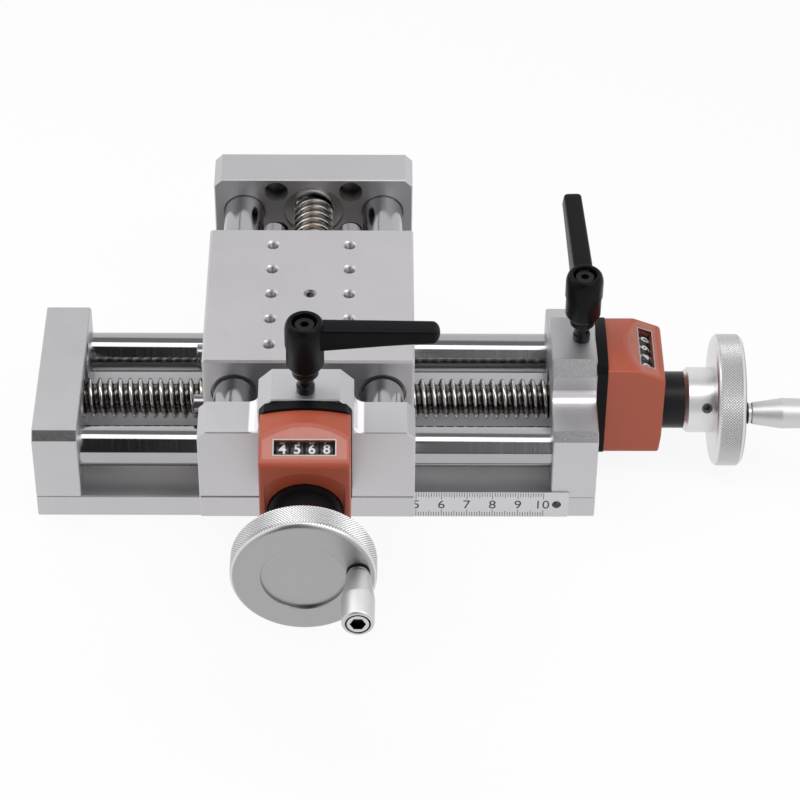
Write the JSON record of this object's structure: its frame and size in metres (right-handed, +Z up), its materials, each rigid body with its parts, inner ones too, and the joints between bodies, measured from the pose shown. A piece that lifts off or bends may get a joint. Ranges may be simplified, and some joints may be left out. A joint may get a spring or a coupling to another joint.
{
  "type": "cross slide table",
  "caption": "Manual cross slide table: stacked screw-driven slides at right angles with position counters, handwheels and clamp levers; the table has threaded holes.",
  "frame": {"origin": "middle of the lower base plate's underside", "axes": "+X along the lower slide towards its handwheel, +Y along the upper slide away from its handwheel, +Z up"},
  "size_m": [0.3035, 0.2535, 0.1329],
  "materials": {
    "anodised_aluminium": "clear anodised, fine brushed",
    "turned_aluminium": "fine turned and anodised, knurled rim",
    "ground_steel": "hardened, ground and chromed",
    "rolled_steel": "rolled thread, bright",
    "bearing_steel": "ground",
    "bronze": "cast bronze, bored",
    "bush_polymer": "filled bearing plastic",
    "orange_plastic": "moulded, fine grain",
    "lens_plastic": "clear moulded plastic, orange-tinted surround",
    "black_plastic": "moulded black",
    "black_handle": "die-cast, fine black powder coat",
    "black_steel": "black oxide",
    "fastener_steel": "zinc plated",
    "spring_steel": "bright wire",
    "ruler_steel": "satin stainless with dark marks",
    "rivet_steel": "plain"
  },
  "bodies": {
    "base": {"lower_base_plate": "anodised_aluminium", "lower_plain_end_block": "anodised_aluminium", "lower_crank_end_block": "anodised_aluminium", "lower_guide_rods": "ground_steel", "lower_bearing_outer_rings": "bearing_steel", "lower_counter_flange": "black_plastic", "lower_counter_case": "orange_plastic", "lower_counter_lens": "lens_plastic", "lower_drum_axle": "fastener_steel", "base_block_screws": "fastener_steel", "ruler": "ruler_steel", "ruler_rivets": "rivet_steel"},
    "carriage": {"lower_slider": "anodised_aluminium", "lower_slide_bushes": "bush_polymer", "lower_lead_nut": "bronze", "carriage_screws": "fastener_steel", "upper_base_plate": "anodised_aluminium", "upper_plain_end_block": "anodised_aluminium", "upper_crank_end_block": "anodised_aluminium", "upper_guide_rods": "ground_steel", "upper_bearing_outer_rings": "bearing_steel", "upper_counter_flange": "black_plastic", "upper_counter_case": "orange_plastic", "upper_counter_lens": "lens_plastic", "upper_drum_axle": "fastener_steel"},
    "table": {"upper_table": "anodised_aluminium", "upper_slide_bushes": "bush_polymer", "upper_lead_nut": "bronze", "table_screws": "fastener_steel"},
    "lower_crank": {"lower_lead_screw": "rolled_steel", "lower_bearing_inner_rings": "bearing_steel", "lower_counter_sleeve": "black_steel", "lower_handwheel": "turned_aluminium", "lower_grip_axle": "fastener_steel", "lower_hub_grub_screw": "fastener_steel"},
    "lower_grip": {"lower_grip": "turned_aluminium"},
    "lower_clamp": {"lower_lock_stud": "black_steel", "lower_lock_screw": "black_steel"},
    "lower_clamp_handle": {"lower_lock_handle": "black_handle", "lower_lock_spring": "spring_steel"},
    "lower_drum_1": {"lower_number_drum_1": "black_plastic"},
    "lower_drum_2": {"lower_number_drum_2": "black_plastic"},
    "lower_drum_3": {"lower_number_drum_3": "black_plastic"},
    "lower_drum_4": {"lower_number_drum_4": "black_plastic"},
    "upper_crank": {"upper_lead_screw": "rolled_steel", "upper_bearing_inner_rings": "bearing_steel", "upper_counter_sleeve": "black_steel", "upper_handwheel": "turned_aluminium", "upper_grip_axle": "fastener_steel", "upper_hub_grub_screw": "fastener_steel"},
    "upper_grip": {"upper_grip": "turned_aluminium"},
    "upper_clamp": {"upper_lock_stud": "black_steel", "upper_lock_screw": "black_steel"},
    "upper_clamp_handle": {"upper_lock_handle": "black_handle", "upper_lock_spring": "spring_steel"},
    "upper_drum_1": {"upper_number_drum_1": "black_plastic"},
    "upper_drum_2": {"upper_number_drum_2": "black_plastic"},
    "upper_drum_3": {"upper_number_drum_3": "black_plastic"},
    "upper_drum_4": {"upper_number_drum_4": "black_plastic"}
  },
  "joints": [
    {"name": "lower_crank_turn", "type": "hinge", "parent": "base", "child": "lower_crank", "pos_m": [0.1095, 0, 0.0265], "axis": [1, 0, 0], "range_deg": [-4618, 4384]},
    {"name": "lower_grip_spin", "type": "hinge", "parent": "lower_crank", "child": "lower_grip", "pos_m": [0.1815, -0.01771, 0.03514], "axis": [1, 0, 0], "continuous": true},
    {"name": "carriage_slide", "type": "slide", "parent": "base", "child": "carriage", "axis": [1, 0, 0], "range_m": [-0.0487, 0.0513]},
    {"name": "lower_drum_1_turn", "type": "hinge", "parent": "base", "child": "lower_drum_1", "pos_m": [0.12607, -0.00795, 0.04515], "axis": [0, 1, 0], "continuous": true},
    {"name": "lower_drum_2_turn", "type": "hinge", "parent": "base", "child": "lower_drum_2", "pos_m": [0.12607, -0.00265, 0.04515], "axis": [0, 1, 0], "continuous": true},
    {"name": "lower_drum_3_turn", "type": "hinge", "parent": "base", "child": "lower_drum_3", "pos_m": [0.12607, 0.00265, 0.04515], "axis": [0, 1, 0], "continuous": true},
    {"name": "lower_drum_4_turn", "type": "hinge", "parent": "base", "child": "lower_drum_4", "pos_m": [0.12607, 0.00795, 0.04515], "axis": [0, 1, 0], "continuous": true},
    {"name": "lower_clamp_turn", "type": "hinge", "parent": "base", "child": "lower_clamp", "pos_m": [0.10375, 0, 0.0585], "axis": [0, 0, 1], "range_deg": [-100, 7]},
    {"name": "lower_clamp_lift", "type": "slide", "parent": "lower_clamp", "child": "lower_clamp_handle", "axis": [0, 0, 1], "range_m": [0, 0.003], "stiffness_N_per_m": 300, "springref_m": -0.003},
    {"name": "upper_crank_turn", "type": "hinge", "parent": "carriage", "child": "upper_crank", "pos_m": [-0.0021, -0.0845, 0.0685], "axis": [0, -1, 0], "range_deg": [-1882, 2620]},
    {"name": "upper_grip_spin", "type": "hinge", "parent": "upper_crank", "child": "upper_grip", "pos_m": [0.01737, -0.1565, 0.07151], "axis": [0, -1, 0], "continuous": true},
    {"name": "table_slide", "type": "slide", "parent": "carriage", "child": "table", "axis": [0, 1, 0], "range_m": [-0.0209, 0.0291]},
    {"name": "upper_drum_1_turn", "type": "hinge", "parent": "carriage", "child": "upper_drum_1", "pos_m": [-0.01005, -0.10107, 0.08715], "axis": [1, 0, 0], "continuous": true},
    {"name": "upper_drum_2_turn", "type": "hinge", "parent": "carriage", "child": "upper_drum_2", "pos_m": [-0.00475, -0.10107, 0.08715], "axis": [1, 0, 0], "continuous": true},
    {"name": "upper_drum_3_turn", "type": "hinge", "parent": "carriage", "child": "upper_drum_3", "pos_m": [0.00055, -0.10107, 0.08715], "axis": [1, 0, 0], "continuous": true},
    {"name": "upper_drum_4_turn", "type": "hinge", "parent": "carriage", "child": "upper_drum_4", "pos_m": [0.00585, -0.10107, 0.08715], "axis": [1, 0, 0], "continuous": true},
    {"name": "upper_clamp_turn", "type": "hinge", "parent": "carriage", "child": "upper_clamp", "pos_m": [-0.0021, -0.07875, 0.1005], "axis": [0, 0, 1], "range_deg": [-90, 90]},
    {"name": "upper_clamp_lift", "type": "slide", "parent": "upper_clamp", "child": "upper_clamp_handle", "axis": [0, 0, 1], "range_m": [0, 0.003], "stiffness_N_per_m": 300, "springref_m": -0.003}
  ],
  "couplings": [
    {"joint": "lower_crank_turn", "follows": "carriage_slide", "rad_per_m": -1570.8},
    {"joint": "lower_drum_1_turn", "follows": "carriage_slide", "rad_per_m": -6.2832},
    {"joint": "lower_drum_2_turn", "follows": "carriage_slide", "rad_per_m": -62.832},
    {"joint": "lower_drum_3_turn", "follows": "carriage_slide", "rad_per_m": -628.32},
    {"joint": "lower_drum_4_turn", "follows": "carriage_slide", "rad_per_m": -6283.2},
    {"joint": "upper_crank_turn", "follows": "table_slide", "rad_per_m": 1570.8},
    {"joint": "upper_drum_1_turn", "follows": "table_slide", "rad_per_m": 6.2832},
    {"joint": "upper_drum_2_turn", "follows": "table_slide", "rad_per_m": 62.832},
    {"joint": "upper_drum_3_turn", "follows": "table_slide", "rad_per_m": 628.32},
    {"joint": "upper_drum_4_turn", "follows": "table_slide", "rad_per_m": 6283.2}
  ]
}
